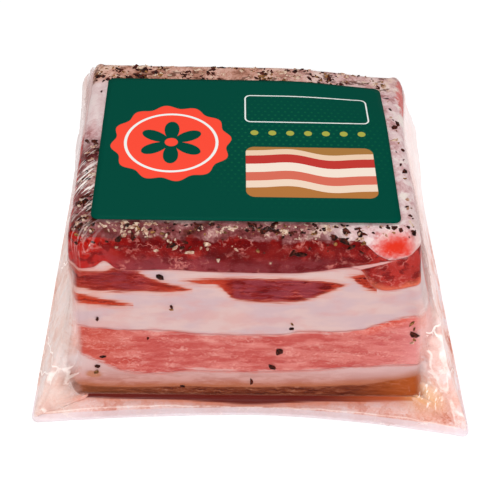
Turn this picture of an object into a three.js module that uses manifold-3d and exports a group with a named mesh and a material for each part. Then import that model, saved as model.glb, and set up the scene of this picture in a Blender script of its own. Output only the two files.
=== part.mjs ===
// A vacuum-sealed pack of cured, layered pork fat. Millimetres, +Z up.
// The origin is the middle of the pack's footprint, on the surface that it lies on.
// +X is to the right and +Y to the back, as seen from the cut face at the front.

import * as THREE from 'three';
import { mergeVertices } from 'three/addons/utils/BufferGeometryUtils.js';
import Module from 'manifold-3d';

const wasm = await Module();
wasm.setup();

// ---------------------------------------------------------------- driving dimensions

const GAP = 0.3; // clearance between two neighbouring solids
const WALL_GAP = 0.45; // between the block's curved walls and the film

// The bag: a flat sealed rim all round, and film that climbs from it to the block.
const RIM_HALF_WIDTH = 61; // at the front
const RIM_HALF_DEPTH = 58.4; // at the furthest corners
const RIM_TAPER = 0.03; // how much of its width the rim has lost at the back
const RIM_CORNER = 2;
const RIM_THICKNESS = 0.8;
const RIM_BAND = { front: 2.4, sides: 0.6 }; // flat width before the film starts to climb
const RIM_BOW = { frontLeft: 3.3, frontRight: 6.9, backLeft: 6, backRight: 6 };
const RIM_BOW_POWER = 1.7; // of the distance from the middle
const FLOOR_THICKNESS = 0.6; // film under the block
const WALL_THICKNESS = 0.8; // film where it reaches the block
const CLIMB = { front: 4, side: 42, back: 30, frontCorner: 35, backCorner: 55 }; // to heights
const CONCAVITY = { walls: 2.4, backLeft: 0.65, backRight: 1 }; // 1 is a straight web
const CORNER_REACH = [8, 38]; // where the back corners' web starts, and is whole, to the back

// The block: [height, place] stops of its four sides, without their rounded edges.
const BLOCK_TOP = 58;
const BLOCK_BOTTOM = FLOOR_THICKNESS + GAP;
const LEFT_SIDE = [[0, -52], [8, -52], [14, -50.8], [24, -49.2], [38, -48.6], [58, -48.2]];
const RIGHT_SIDE = [[0, 52.2], [8, 51.8], [22, 50], [30, 48.3], [38, 45.7], [50, 43.8], [58, 42.8]];
const FRONT_SIDE = [[0, -46.7], [6, -46.1], [15, -43.8], [58, -39.4]];
const BACK_SIDE = [[0, 41.5], [30, 40.5], [58, 37.5]];
const BLOCK_CORNER = [[0, 7], [15, 5], [58, 4]]; // in plan, by height
const TOP_EDGE = 4;
const BOTTOM_EDGE = 1.8;
const LUMP = 0.3; // how far the walls swell and shrink

// The top's back right corner lies lower and reaches further out than the rest. Each pair
// is where that starts, and where it is whole, to the right, to the back and upward.
const BACK_RIGHT = { sag: 3, flare: 2.8, right: [8, 44], back: [2, 34], up: [30, BLOCK_TOP] };

// The seams between the layers: [x, height] stops along the cut face at the front.
const FAT_LEAN_SEAM = [
  [-52, 21], [-47, 16.5], [-41, 13.3], [-35, 10.8], [-26, 10], [-18, 11.1],
  [0, 10.8], [17, 11.6], [28, 12.8], [39, 13.4], [51, 14],
];
const LEAN_FAT_SEAM = [
  [-50, 26], [-37, 25], [-26, 24.9], [-11, 23.7], [8, 23.9], [13, 25],
  [23, 25.1], [30, 25.8], [34, 27.7], [41, 30.2], [48, 31.5],
];
const FAT_TOP_LEAN_SEAM = [
  [-48, 46], [-42, 46.8], [-39, 49], [-35.5, 46], [-22, 46], [-11, 45.4], [8, 45.4],
  [18, 46.5], [25, 47.6], [28, 46.6], [31, 41.5], [34, 39.6], [38, 40], [44, 42],
];
const CAP_SEAM = [[-48, 56.3], [24, 56.3], [28, 55.6], [32, 52], [35, 50.6], [38, 51.3], [44, 54]];
const CAP_THINNEST = 1.6;
const SEAM_WAVE = 0.9; // how far a seam wanders on its way to the back

// The label, stuck flat on the top.
const LABEL = { width: 80, depth: 61.6, x: -2.45, y: -4.2, corner: 2, thickness: 0.4 };

// Crushed pepper and garlic, half sunk in the surface.
const CRUST_GRAINS = 78;
const GRAIN_RADIUS = [0.65, 1.15];
const GRAIN_SHAPE = new THREE.Vector3(1, 0.8, 0.62);
const GRAIN_SINK = 0.2;
const GRAIN_CLEARANCE = 1.6; // from a grain's middle to the label
const GRAIN_SPACING = 2.6;
const GRAIN_AREA = { left: -46.5, right: 41, front: -38, back: 36 };
const SEAM_CLEARANCE = 1.2; // from a grain's middle on the cut face to a seam
const FRONT_GRAINS = [
  [-25, 43.6], [-22, 33], [-28.4, 22.2], [10.6, 26.2], [7.6, 18.1], [5.8, 12.6],
  [-9, 52.4], [11.5, 51.6], [-17, 53.5], [29, 36],
]; // [x, height] on the cut face
const SEED = 41;

// How many steps each side of a ring and each of its corners takes.
const RING_STEPS = { front: 14, right: 7, back: 10, left: 7, corner: 4 };
const LABEL_STEPS = { front: 8, right: 6, back: 8, left: 6, corner: 3 };

// ---------------------------------------------------------------------- small helpers

// A smooth curve through [place, value] stops, level past its two ends.
function through(stops, at) {
  const last = stops.length - 1;
  if (at <= stops[0][0]) return stops[0][1];
  if (at >= stops[last][0]) return stops[last][1];
  const i = stops.findIndex(([place]) => place > at) - 1;
  const slope = (k) => {
    const [before, after] = [stops[Math.max(k - 1, 0)], stops[Math.min(k + 1, last)]];
    return (after[1] - before[1]) / (after[0] - before[0]);
  };
  const span = stops[i + 1][0] - stops[i][0];
  const t = (at - stops[i][0]) / span;
  const start = (1 + 2 * t) * (1 - t) ** 2 * stops[i][1] + t * (1 - t) ** 2 * span * slope(i);
  const end = t * t * (3 - 2 * t) * stops[i + 1][1] + t * t * (t - 1) * span * slope(i + 1);
  return start + end;
}

// Repeatable random numbers from 0 to 1.
function randomFrom(seed) {
  let state = seed;
  return () => {
    state = (state + 0x6d2b79f5) | 0;
    let mixed = Math.imul(state ^ (state >>> 15), 1 | state);
    mixed = (mixed + Math.imul(mixed ^ (mixed >>> 7), 61 | mixed)) ^ mixed;
    return ((mixed ^ (mixed >>> 14)) >>> 0) / 2 ** 32;
  };
}

// The stations round a rounded rectangle, anticlockwise from the front's left end: four
// quarters, each a straight side and then a corner. The angle is the way that it faces.
function stations(steps) {
  const list = [];
  ['front', 'right', 'back', 'left'].forEach((side, quarter) => {
    const first = ((quarter - 1) * Math.PI) / 2;
    for (let i = 0; i < steps[side]; i++) {
      list.push({ quarter, straight: true, along: i / steps[side], angle: first });
    }
    for (let i = 0; i < steps.corner; i++) {
      const angle = first + ((i / steps.corner) * Math.PI) / 2;
      list.push({ quarter, straight: false, along: i / steps.corner, angle });
    }
  });
  return list;
}

// Where a station lies on the rounded rectangle from left to right and front to back.
function onRectangle(station, left, right, front, back, radius) {
  const [x0, x1, y0, y1] = [left + radius, right - radius, front + radius, back - radius];
  const corners = [[x0, y0], [x1, y0], [x1, y1], [x0, y1]];
  const start = corners[station.quarter];
  const end = corners[(station.quarter + 1) % 4];
  const t = station.straight ? station.along : 1;
  return new THREE.Vector2(
    start[0] + (end[0] - start[0]) * t + radius * Math.cos(station.angle),
    start[1] + (end[1] - start[1]) * t + radius * Math.sin(station.angle),
  );
}

// A closed skin over a stack of rings, each anticlockwise as seen from the next. It splits
// its quads alike where it runs outward and inward, so that two layers' faces stay parallel.
function skin(rings) {
  const count = rings[0].length;
  const indices = [];
  for (let i = 0; i < rings.length - 1; i++) {
    const reach = (ring) => Math.hypot(ring[0].x, ring[0].y);
    const outward = reach(rings[i + 1]) > reach(rings[i]);
    for (let j = 0; j < count; j++) {
      const next = (j + 1) % count;
      const [a, b] = [i * count + j, i * count + next];
      const [c, d] = [b + count, a + count];
      indices.push(...(outward ? [a, b, d, b, c, d] : [a, b, c, a, c, d]));
    }
  }
  const geometry = new THREE.BufferGeometry().setFromPoints(rings.flat());
  geometry.setIndex(indices);
  geometry.computeVertexNormals();
  return geometry;
}

// --------------------------------------------------------------------- the block's form

const BLOCK_MIDDLE = new THREE.Vector2(-1.7, -3);
const ROUND = stations(RING_STEPS);

// How far the top and bottom edges are rounded in at a height.
function edgeInset(z) {
  const above = z - (BLOCK_TOP - TOP_EDGE);
  const below = BLOCK_BOTTOM + BOTTOM_EDGE - z;
  if (above > 0) return TOP_EDGE - Math.sqrt(Math.max(TOP_EDGE ** 2 - above ** 2, 0));
  if (below > 0) return BOTTOM_EDGE - Math.sqrt(Math.max(BOTTOM_EDGE ** 2 - below ** 2, 0));
  return 0;
}

// How much of a point is in the block's top back right corner, from 0 to 1.
function backRight(x, y, z) {
  const right = THREE.MathUtils.smoothstep(x, ...BACK_RIGHT.right);
  const back = THREE.MathUtils.smoothstep(y, ...BACK_RIGHT.back);
  return right * back * THREE.MathUtils.smoothstep(z, ...BACK_RIGHT.up);
}

// The block's outline at a height, grown outward by a distance.
function blockOutline(station, z, grow = 0) {
  const lump = LUMP * (Math.sin(3 * station.angle + z / 9) + Math.sin(5 * station.angle - z / 6));
  const out = grow + lump - edgeInset(z);
  const point = onRectangle(
    station,
    through(LEFT_SIDE, z) - out,
    through(RIGHT_SIDE, z) + out,
    through(FRONT_SIDE, z) - out,
    through(BACK_SIDE, z) + out,
    Math.max(through(BLOCK_CORNER, z) + out, 1),
  );
  point.x += BACK_RIGHT.flare * backRight(point.x, point.y, z);
  return point;
}

// How far a point on or in the block lies below its undisturbed height.
function sag(x, y, z) {
  return BACK_RIGHT.sag * backRight(x, y, z);
}

function place(point, z) {
  return new THREE.Vector3(point.x, point.y, z - sag(point.x, point.y, z));
}

// A seam's height anywhere: as on the cut face, wandering more the further back it lies.
function seamHeight(stops, x, y, phase) {
  const back = THREE.MathUtils.smoothstep(y, through(FRONT_SIDE, BLOCK_TOP), 30);
  const wander = Math.sin(x / 15 + phase) + Math.cos(y / 13 + 2 * phase) - Math.cos(2 * phase);
  return through(stops, x) + SEAM_WAVE * back * wander;
}

const SEAMS = {
  rind: () => BLOCK_BOTTOM,
  fatLean: (x, y) => seamHeight(FAT_LEAN_SEAM, x, y, 0.4),
  leanFat: (x, y) => seamHeight(LEAN_FAT_SEAM, x, y, 1.7),
  fatTopLean: (x, y) => seamHeight(FAT_TOP_LEAN_SEAM, x, y, 2.9),
  cap: (x, y) => Math.min(seamHeight(CAP_SEAM, x, y, 4.4), BLOCK_TOP - CAP_THINNEST),
  top: () => BLOCK_TOP,
};

// The height at which a station's wall meets a seam.
function wallHeight(station, seam, shift) {
  let z = BLOCK_TOP / 2;
  for (let pass = 0; pass < 6; pass++) {
    const { x, y } = blockOutline(station, z);
    z = seam(x, y) + shift;
  }
  return z;
}

// --------------------------------------------------------------------- the five layers

const FACE_RINGS = [0, 0.3, 0.58, 0.82]; // rings across a layer's two faces, by size
const BOTTOM_EDGE_BANDS = [0, 0.3, 1]; // rings up the rounded bottom edge, by height
const WALL_BANDS = {
  fatLower: [0.46, 0.72, 1],
  leanLower: [0, 0.5, 1],
  fatUpper: [0, 0.33, 0.67, 1],
  leanUpper: [0, 0.4, 0.75, 1],
  fatCap: [0, 0.35, 0.65, 0.85, 1],
}; // rings up each layer's wall, by height

// One layer of the block, from the seam below it to the seam above it.
function layerGeometry(below, above, wallBands) {
  const low = below === SEAMS.rind ? 0 : GAP / 2;
  const high = above === SEAMS.top ? 0 : -GAP / 2;
  const starts = ROUND.map((station) => wallHeight(station, below, low));
  const ends = ROUND.map((station) => wallHeight(station, above, high));
  const face = (seam, shift, heights, size) => ROUND.map((station, i) => {
    const point = blockOutline(station, heights[i]).sub(BLOCK_MIDDLE);
    point.multiplyScalar(size).add(BLOCK_MIDDLE);
    return place(point, seam(point.x, point.y) + shift);
  });
  const wall = (t) => ROUND.map((station, i) => {
    const z = starts[i] + (ends[i] - starts[i]) * t;
    return place(blockOutline(station, z), z);
  });
  const bottomEdge = (t) => ROUND.map((station) => {
    const z = BLOCK_BOTTOM + BOTTOM_EDGE * t;
    return place(blockOutline(station, z), z);
  });
  const sections = [
    ...FACE_RINGS.map((size) => face(below, low, starts, size)),
    ...(below === SEAMS.rind ? BOTTOM_EDGE_BANDS.map(bottomEdge) : []),
    ...wallBands.map(wall),
    ...FACE_RINGS.map((size) => face(above, high, ends, size)).reverse(),
  ];
  return skin(sections);
}

// The height of the block's top under a point, its rounded edge included.
function topHeight(x, y) {
  const z = BLOCK_TOP - TOP_EDGE;
  const halfWidth = (through(RIGHT_SIDE, z) - through(LEFT_SIDE, z)) / 2;
  const halfDepth = (through(BACK_SIDE, z) - through(FRONT_SIDE, z)) / 2;
  const corner = through(BLOCK_CORNER, z);
  const dx = Math.abs(x - through(LEFT_SIDE, z) - halfWidth) - halfWidth + corner;
  const dy = Math.abs(y - through(FRONT_SIDE, z) - halfDepth) - halfDepth + corner;
  const beyond = Math.hypot(Math.max(dx, 0), Math.max(dy, 0)) + Math.min(Math.max(dx, dy), 0);
  const inside = THREE.MathUtils.clamp(corner - beyond, 0, TOP_EDGE);
  const drop = TOP_EDGE - Math.sqrt(TOP_EDGE ** 2 - (TOP_EDGE - inside) ** 2);
  return BLOCK_TOP - drop - sag(x, y, BLOCK_TOP);
}

// -------------------------------------------------------------------------- the grains

const random = randomFrom(SEED);
const between = (low, high) => low + (high - low) * random();

function grainAt(position) {
  const grain = new THREE.IcosahedronGeometry(between(...GRAIN_RADIUS), 0);
  grain.scale(GRAIN_SHAPE.x, GRAIN_SHAPE.y, GRAIN_SHAPE.z);
  grain.rotateX(between(-0.5, 0.5)).rotateZ(between(0, Math.PI));
  return grain.translate(position.x, position.y, position.z);
}

// The crust lies on the top all round the label, as far as the rounded edges.
function crustGrains() {
  const grains = [];
  const taken = [];
  while (grains.length < CRUST_GRAINS) {
    const x = between(GRAIN_AREA.left, GRAIN_AREA.right);
    const y = between(GRAIN_AREA.front, GRAIN_AREA.back);
    const besideLabel = Math.abs(x - LABEL.x) > LABEL.width / 2 + GRAIN_CLEARANCE
      || Math.abs(y - LABEL.y) > LABEL.depth / 2 + GRAIN_CLEARANCE;
    const z = topHeight(x, y);
    const onTop = z > BLOCK_TOP - 0.2 * TOP_EDGE - sag(x, y, BLOCK_TOP);
    const spot = new THREE.Vector2(x, y);
    const free = taken.every((other) => other.distanceTo(spot) > GRAIN_SPACING);
    if (besideLabel && onTop && free) {
      grains.push(grainAt(new THREE.Vector3(x, y, z - GRAIN_SINK)));
      taken.push(spot);
    }
  }
  return grains;
}

// The few on the cut face belong to the layer that they lie on.
function frontGrains(below, above) {
  const lies = ([x, z]) => {
    const y = through(FRONT_SIDE, z);
    return z > below(x, y) + SEAM_CLEARANCE && z < above(x, y) - SEAM_CLEARANCE;
  };
  const front = { quarter: 0, straight: true, along: 0, angle: -Math.PI / 2 };
  return FRONT_GRAINS.filter(lies).map(([x, z]) => {
    const grain = grainAt(new THREE.Vector3(0, 0, 0)).rotateX(Math.PI / 2);
    return grain.translate(x, blockOutline(front, z).y + GRAIN_SINK, z);
  });
}

// -------------------------------------------------------------------- joining by boolean

function asManifold(geometry) {
  const bare = new THREE.BufferGeometry();
  bare.setAttribute('position', geometry.attributes.position);
  bare.setIndex(geometry.index);
  const merged = mergeVertices(bare, 1e-3);
  const corners = merged.index.array;
  const kept = [];
  for (let i = 0; i < corners.length; i += 3) {
    const [a, b, c] = corners.slice(i, i + 3);
    if (a !== b && b !== c && c !== a) kept.push(a, b, c);
  }
  return new wasm.Manifold(new wasm.Mesh({
    numProp: 3,
    vertProperties: new Float32Array(merged.attributes.position.array),
    triVerts: new Uint32Array(kept),
  }));
}

function withGrains(geometry, grains) {
  if (grains.length === 0) return geometry;
  const joined = grains.map(asManifold).reduce((whole, grain) => whole.add(grain), asManifold(geometry));
  const { vertProperties, triVerts } = joined.getMesh();
  const result = new THREE.BufferGeometry();
  result.setAttribute('position', new THREE.BufferAttribute(vertProperties, 3));
  result.setIndex(new THREE.BufferAttribute(triVerts, 1));
  result.computeVertexNormals();
  return result;
}

// ----------------------------------------------------------------------------- the bag

// The rim's outline: it narrows to the back, and its front and back edges bow in.
function rimOutline(station, inset) {
  const frontMiddle = RIM_HALF_DEPTH - RIM_BOW.frontRight;
  const backMiddle = RIM_HALF_DEPTH - RIM_BOW.backLeft;
  const point = onRectangle(
    station,
    inset - RIM_HALF_WIDTH,
    RIM_HALF_WIDTH - inset,
    inset - frontMiddle,
    backMiddle - inset,
    Math.max(RIM_CORNER - inset, 0.2),
  );
  const across = Math.min(Math.abs(point.x) / (RIM_HALF_WIDTH - RIM_CORNER), 1) ** RIM_BOW_POWER;
  if (point.y < 0) {
    const bow = point.x < 0 ? RIM_BOW.frontLeft : RIM_BOW.frontRight;
    point.y *= 1 + (bow * across) / frontMiddle;
  } else {
    const bow = point.x < 0 ? RIM_BOW.backLeft : RIM_BOW.backRight;
    point.y *= 1 + (bow * across) / backMiddle;
  }
  point.x *= 1 - (RIM_TAPER * (point.y + RIM_HALF_DEPTH)) / (2 * RIM_HALF_DEPTH);
  return point;
}

function rimBand(station) {
  const front = Math.max(-Math.sin(station.angle), 0) ** 2;
  return THREE.MathUtils.lerp(RIM_BAND.sides, RIM_BAND.front, front);
}

// How much a station belongs to a corner, from 0 to 1. The back corners' web also takes in
// the back end of the two sides.
function cornerShare(station) {
  const [sideways, deep] = [Math.cos(station.angle), Math.sin(station.angle)];
  const corner = 4 * (sideways * deep) ** 2;
  const { y } = blockOutline(station, BLOCK_TOP / 2);
  const backEnd = sideways ** 2 * THREE.MathUtils.smoothstep(y, ...CORNER_REACH);
  return Math.max(corner, backEnd);
}

// How high the film climbs off the block before it lies tight against it.
function climbHeight(station) {
  const [sideways, deep] = [Math.cos(station.angle), Math.sin(station.angle)];
  const straight = (deep < 0 ? CLIMB.front : CLIMB.back) * deep ** 2 + CLIMB.side * sideways ** 2;
  const atCorner = isAtFront(station) ? CLIMB.frontCorner : CLIMB.backCorner;
  return THREE.MathUtils.lerp(straight, atCorner, cornerShare(station));
}

function climbConcavity(station) {
  if (isAtFront(station)) return CONCAVITY.walls;
  const atCorner = Math.cos(station.angle) < 0 ? CONCAVITY.backLeft : CONCAVITY.backRight;
  return THREE.MathUtils.lerp(CONCAVITY.walls, atCorner, cornerShare(station));
}

function isAtFront(station) {
  return blockOutline(station, BLOCK_TOP / 2).y < 0;
}

const WEB_RINGS = [0.1, 0.25, 0.42, 0.6, 0.8, 1]; // up the climbing film, by height
const LINING_RINGS = [0, 0.16, 0.32, 0.46, 0.6, 0.73, 0.86, 1]; // down its inside
const FLOOR_RINGS = [1, 0.6, 0]; // across the film under the block, by size

function bagGeometry() {
  const flat = (z, inset, size = 1) => ROUND.map((station) => {
    const point = rimOutline(station, inset(station)).multiplyScalar(size);
    return new THREE.Vector3(point.x, point.y, z);
  });
  const noInset = () => 0;
  // From the rim, at t = 0, to the block's wall, at t = 1.
  const web = (t) => ROUND.map((station) => {
    const z = RIM_THICKNESS + (climbHeight(station) - RIM_THICKNESS) * t;
    const wall = blockOutline(station, z, WALL_GAP + WALL_THICKNESS);
    const point = wall.lerp(rimOutline(station, rimBand(station)), (1 - t) ** climbConcavity(station));
    return place(point, z);
  });
  // Down the inside of the film, from its lip, at t = 0, to the bottom edge, at t = 1.
  const lining = (t) => ROUND.map((station) => {
    const z = THREE.MathUtils.lerp(climbHeight(station), BLOCK_BOTTOM + BOTTOM_EDGE, t);
    return place(blockOutline(station, z, WALL_GAP), z);
  });
  const underEdge = (z, drop) => ROUND.map((station) => {
    const point = blockOutline(station, z, WALL_GAP);
    return new THREE.Vector3(point.x, point.y, z - drop);
  });
  const floor = (size) => underEdge(BLOCK_BOTTOM, GAP).map((point) => {
    const [x, y] = [point.x - BLOCK_MIDDLE.x, point.y - BLOCK_MIDDLE.y];
    return new THREE.Vector3(BLOCK_MIDDLE.x + x * size, BLOCK_MIDDLE.y + y * size, FLOOR_THICKNESS);
  });
  return skin([
    ...FLOOR_RINGS.map((size) => flat(0, noInset, size)).reverse(),
    flat(RIM_THICKNESS, noInset),
    flat(RIM_THICKNESS, rimBand),
    ...WEB_RINGS.map(web),
    ...LINING_RINGS.map(lining),
    underEdge(BLOCK_BOTTOM + BOTTOM_EDGE_BANDS[1] * BOTTOM_EDGE, GAP / 2),
    ...FLOOR_RINGS.map(floor),
  ]);
}

// --------------------------------------------------------------------------- the label

const LABEL_RINGS = [0, 0.35, 0.7, 1]; // across the label, by size

function labelGeometry() {
  const [halfWidth, halfDepth] = [LABEL.width / 2, LABEL.depth / 2];
  const ring = (lift, size) => stations(LABEL_STEPS).map((station) => {
    const point = onRectangle(station, -halfWidth, halfWidth, -halfDepth, halfDepth, LABEL.corner);
    const [x, y] = [LABEL.x + point.x * size, LABEL.y + point.y * size];
    return new THREE.Vector3(x, y, topHeight(x, y) + GAP + lift);
  });
  return skin([
    ...LABEL_RINGS.map((size) => ring(0, size)),
    ...LABEL_RINGS.map((size) => ring(LABEL.thickness, size)).reverse(),
  ]);
}

// --------------------------------------------------------------------------- the pack

const fatLower = layerGeometry(SEAMS.rind, SEAMS.fatLean, WALL_BANDS.fatLower);
const leanLower = layerGeometry(SEAMS.fatLean, SEAMS.leanFat, WALL_BANDS.leanLower);
const fatUpper = layerGeometry(SEAMS.leanFat, SEAMS.fatTopLean, WALL_BANDS.fatUpper);
const leanUpper = layerGeometry(SEAMS.fatTopLean, SEAMS.cap, WALL_BANDS.leanUpper);
const fatCap = layerGeometry(SEAMS.cap, SEAMS.top, WALL_BANDS.fatCap);

const pieces = {
  vacuum_bag: { geometry: bagGeometry(), color: 0xe9cfc6, roughness: 0.25 },
  fat_lower: { geometry: fatLower, color: 0xdcb9a8, roughness: 0.4 },
  lean_lower: {
    geometry: withGrains(leanLower, frontGrains(SEAMS.fatLean, SEAMS.leanFat)),
    color: 0xcf6a60,
    roughness: 0.4,
  },
  fat_upper: {
    geometry: withGrains(fatUpper, frontGrains(SEAMS.leanFat, SEAMS.fatTopLean)),
    color: 0xe2cccb,
    roughness: 0.4,
  },
  lean_upper: {
    geometry: withGrains(leanUpper, frontGrains(SEAMS.fatTopLean, SEAMS.cap)),
    color: 0x8a2622,
    roughness: 0.35,
  },
  fat_cap: { geometry: withGrains(fatCap, crustGrains()), color: 0xc9a9a4, roughness: 0.45 },
  label: { geometry: labelGeometry(), color: 0x064a3b, roughness: 0.35 },
};

const pack = new THREE.Group();
pack.name = 'cured_pork_fat_pack';

for (const [name, { geometry, color, roughness }] of Object.entries(pieces)) {
  const material = new THREE.MeshStandardMaterial({ color, roughness, metalness: 0 });
  const mesh = new THREE.Mesh(geometry, material);
  mesh.name = name;
  pack.add(mesh);
}

export default pack;
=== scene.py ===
import math
from functools import partialmethod

import bmesh
import bpy
import numpy as np
from mathutils import Matrix, Vector


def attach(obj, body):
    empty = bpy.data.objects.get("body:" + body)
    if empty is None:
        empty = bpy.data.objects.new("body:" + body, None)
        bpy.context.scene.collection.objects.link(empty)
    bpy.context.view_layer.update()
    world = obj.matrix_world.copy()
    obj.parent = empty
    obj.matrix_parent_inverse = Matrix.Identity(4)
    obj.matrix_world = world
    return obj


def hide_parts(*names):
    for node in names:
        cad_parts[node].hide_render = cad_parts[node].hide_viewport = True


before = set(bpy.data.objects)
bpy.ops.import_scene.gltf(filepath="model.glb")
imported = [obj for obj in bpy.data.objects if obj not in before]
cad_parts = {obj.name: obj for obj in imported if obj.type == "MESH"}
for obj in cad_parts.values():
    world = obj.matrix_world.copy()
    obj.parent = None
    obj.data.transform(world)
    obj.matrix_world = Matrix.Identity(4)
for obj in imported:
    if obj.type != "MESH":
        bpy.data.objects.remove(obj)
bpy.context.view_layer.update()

# Lengths here are in millimetres, in the row's frame, and meshes are made in metres.
MM = 0.001

# ------------------------------------------------------------------------- dimensions

RIM_HALF_WIDTH = 61
RIM_HALF_DEPTH = 58.4
RIM_TAPER = 0.03
RIM_CORNER = 2
RIM_BAND = {"front": 2.4, "sides": 0.6}
RIM_BOW = {"front_left": 3.3, "front_right": 6.9, "back": 6}
RIM_BOW_POWER = 1.7
RIM_HEIGHT = 0.5
CLIMB = {"front": 2.4, "side": 42, "back": 30, "front_corner": 35, "back_corner": 55}
CONCAVITY = {"walls": 2.4, "back_left": 0.65, "back_right": 1}
CORNER_REACH = (8, 38)

BLOCK_TOP = 58
BLOCK_BOTTOM = 0.9
LEFT_SIDE = [(0, -52), (8, -52), (14, -50.8), (24, -49.2), (38, -48.6), (58, -48.2)]
RIGHT_SIDE = [(0, 52.2), (8, 51.8), (22, 50), (30, 48.3), (38, 45.7), (50, 43.8), (58, 42.8)]
FRONT_SIDE = [(0, -46.7), (6, -46.1), (15, -43.8), (58, -39.4)]
BACK_SIDE = [(0, 41.5), (30, 40.5), (58, 37.5)]
BLOCK_CORNER = [(0, 7), (15, 5), (58, 4)]
TOP_EDGE = 4
BOTTOM_EDGE = 1.8
LUMP = 0.3
BACK_RIGHT = {"sag": 3, "flare": 2.8, "right": (8, 44), "back": (2, 34), "up": (30, BLOCK_TOP)}
BLOCK_MIDDLE = np.array([-1.7, -3.0])

FAT_LEAN_SEAM = [
    (-52, 21), (-47, 16.5), (-41, 13.3), (-35, 10.8), (-26, 10), (-18, 11.1),
    (0, 10.8), (17, 11.6), (28, 12.8), (39, 13.4), (51, 14),
]
LEAN_FAT_SEAM = [
    (-50, 26), (-37, 25), (-26, 24.9), (-11, 23.7), (8, 23.9), (13, 25),
    (23, 25.1), (30, 25.8), (34, 27.7), (41, 30.2), (48, 31.5),
]
FAT_TOP_LEAN_SEAM = [
    (-48, 46), (-42, 46.8), (-39, 49), (-35.5, 46), (-22, 46), (-11, 45.4), (8, 45.4),
    (18, 46.5), (25, 47.6), (28, 46.6), (31, 41.5), (34, 39.6), (38, 40), (44, 42),
]
CAP_SEAM = [(-48, 56.3), (24, 56.3), (28, 55.6), (32, 52), (35, 50.6), (38, 51.3), (44, 54)]
CAP_THINNEST = 1.6
SEAM_WAVE = 0.9

# Where the brown rind ends, and the lean streaks in the upper fat: each has the curves
# of its top and its bottom, by the distance round the block from the front's middle,
# and of how warm its red is.
RIND_TOP = [
    (-52, 8.8), (-48, 6.4), (-40, 5.3), (-19, 5.7), (9, 5.9), (24, 6.6), (36, 7.8), (49, 10.8),
]
STREAKS = [
    {
        "top": [(-92, 40), (-84, 42.5), (-60, 44.5), (-46, 45.6), (-40, 45.4), (-36, 46.6), (-32, 46.2),
                (-27, 42.9), (-23, 41.2), (-19, 40.1), (-16, 39)],
        "bottom": [(-92, 42), (-84, 39.5), (-60, 38.2), (-46, 39.2), (-41, 38.1), (-27, 38.2),
                   (-20, 38.1), (-16, 39)],
        "warm": [(-50, 0.7), (-44, 0.25), (-28, 0.2), (-20, 0.9)],
    },
    {
        "top": [(-66, 33), (-58, 36), (-48, 37.1), (-43.4, 36.1), (-38, 34.9), (-32, 33.4)],
        "bottom": [(-66, 35), (-58, 33.2), (-48, 34.2), (-43.4, 33.3), (-38, 33), (-32, 33.4)],
        "warm": [(-50, 1), (-34, 0.9)],
    },
    {
        "top": [(-20, 41.4), (-16.5, 42.4), (-9, 43.1), (0, 43.4), (16, 43), (22, 42), (27, 40)],
        "bottom": [(-20, 42.6), (-16.5, 41.4), (-9.5, 40.4), (-5.5, 36), (-1, 35), (8, 35), (15, 36.2),
                   (20, 39), (27, 43)],
        "warm": [(-18, 1), (-9, 0.8), (-4, 0), (16, 0), (21, 0.6)],
    },
    {
        "top": [(23, 43.4), (25.8, 44.6), (28.6, 45.9), (31, 47.6), (33, 48)],
        "bottom": [(23, 44.6), (25.8, 43.8), (27.4, 41.8), (30, 39.9), (33, 39)],
        "warm": [(25, 0.9), (33, 0.6)],
    },
    {
        "top": [(66, 34), (74, 37.5), (90, 38.6), (108, 37), (118, 34)],
        "bottom": [(66, 36), (74, 35), (90, 34.2), (108, 34.4), (118, 36)],
        "warm": [(66, 0.6), (118, 0.4)],
    },
    {
        "top": [(138, 38), (150, 41.5), (172, 42.6), (196, 41), (212, 38)],
        "bottom": [(138, 40), (150, 38.4), (172, 37), (196, 37.4), (212, 40)],
        "warm": [(138, 0.5), (212, 0.2)],
    },
]

LABEL = {"width": 80, "depth": 61.6, "x": -2.45, "y": -4.2, "corner": 2, "lift": 0.5, "thickness": 0.25}
FILM_LIFT = 0.28  # of the film above the food
FILM_BOTTOM = 0.03

FINE = 0.62  # spacing of the food's and the film's vertices

# ---------------------------------------------------------------------- number helpers


def smoothstep(value, low, high):
    t = np.clip((value - low) / (high - low), 0, 1)
    return t * t * (3 - 2 * t)


def lerp(a, b, t):
    return a + (b - a) * t


def through(stops, at):
    """A smooth curve through (place, value) stops, level past its two ends."""
    x, y = np.array(stops, float).T
    slope = np.empty_like(y)
    slope[1:-1] = (y[2:] - y[:-2]) / (x[2:] - x[:-2])
    slope[0] = (y[1] - y[0]) / (x[1] - x[0])
    slope[-1] = (y[-1] - y[-2]) / (x[-1] - x[-2])
    at = np.clip(at, x[0], x[-1])
    i = np.clip(np.searchsorted(x, at, side="right") - 1, 0, len(x) - 2)
    span = x[i + 1] - x[i]
    t = (at - x[i]) / span
    start = (1 + 2 * t) * (1 - t) ** 2 * y[i] + t * (1 - t) ** 2 * span * slope[i]
    end = t * t * (3 - 2 * t) * y[i + 1] + t * t * (t - 1) * span * slope[i + 1]
    return start + end


def noise(points, size, seed=0):
    """Smooth noise from -1 to 1 at points, with features of a size."""
    place = np.asarray(points) / size + 17.3 * seed + 100
    cell = np.floor(place)
    part = place - cell
    part = part * part * (3 - 2 * part)
    total = np.zeros(place.shape[:-1])
    for corner in np.ndindex(2, 2, 2):
        mixed = np.sin((cell + corner) @ np.array([127.1, 311.7, 74.7])) * 43758.5453
        weight = np.prod(np.where(corner, part, 1 - part), axis=-1)
        total += (2 * (mixed - np.floor(mixed)) - 1) * weight
    return total


# --------------------------------------------------------------------- the block's form


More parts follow.
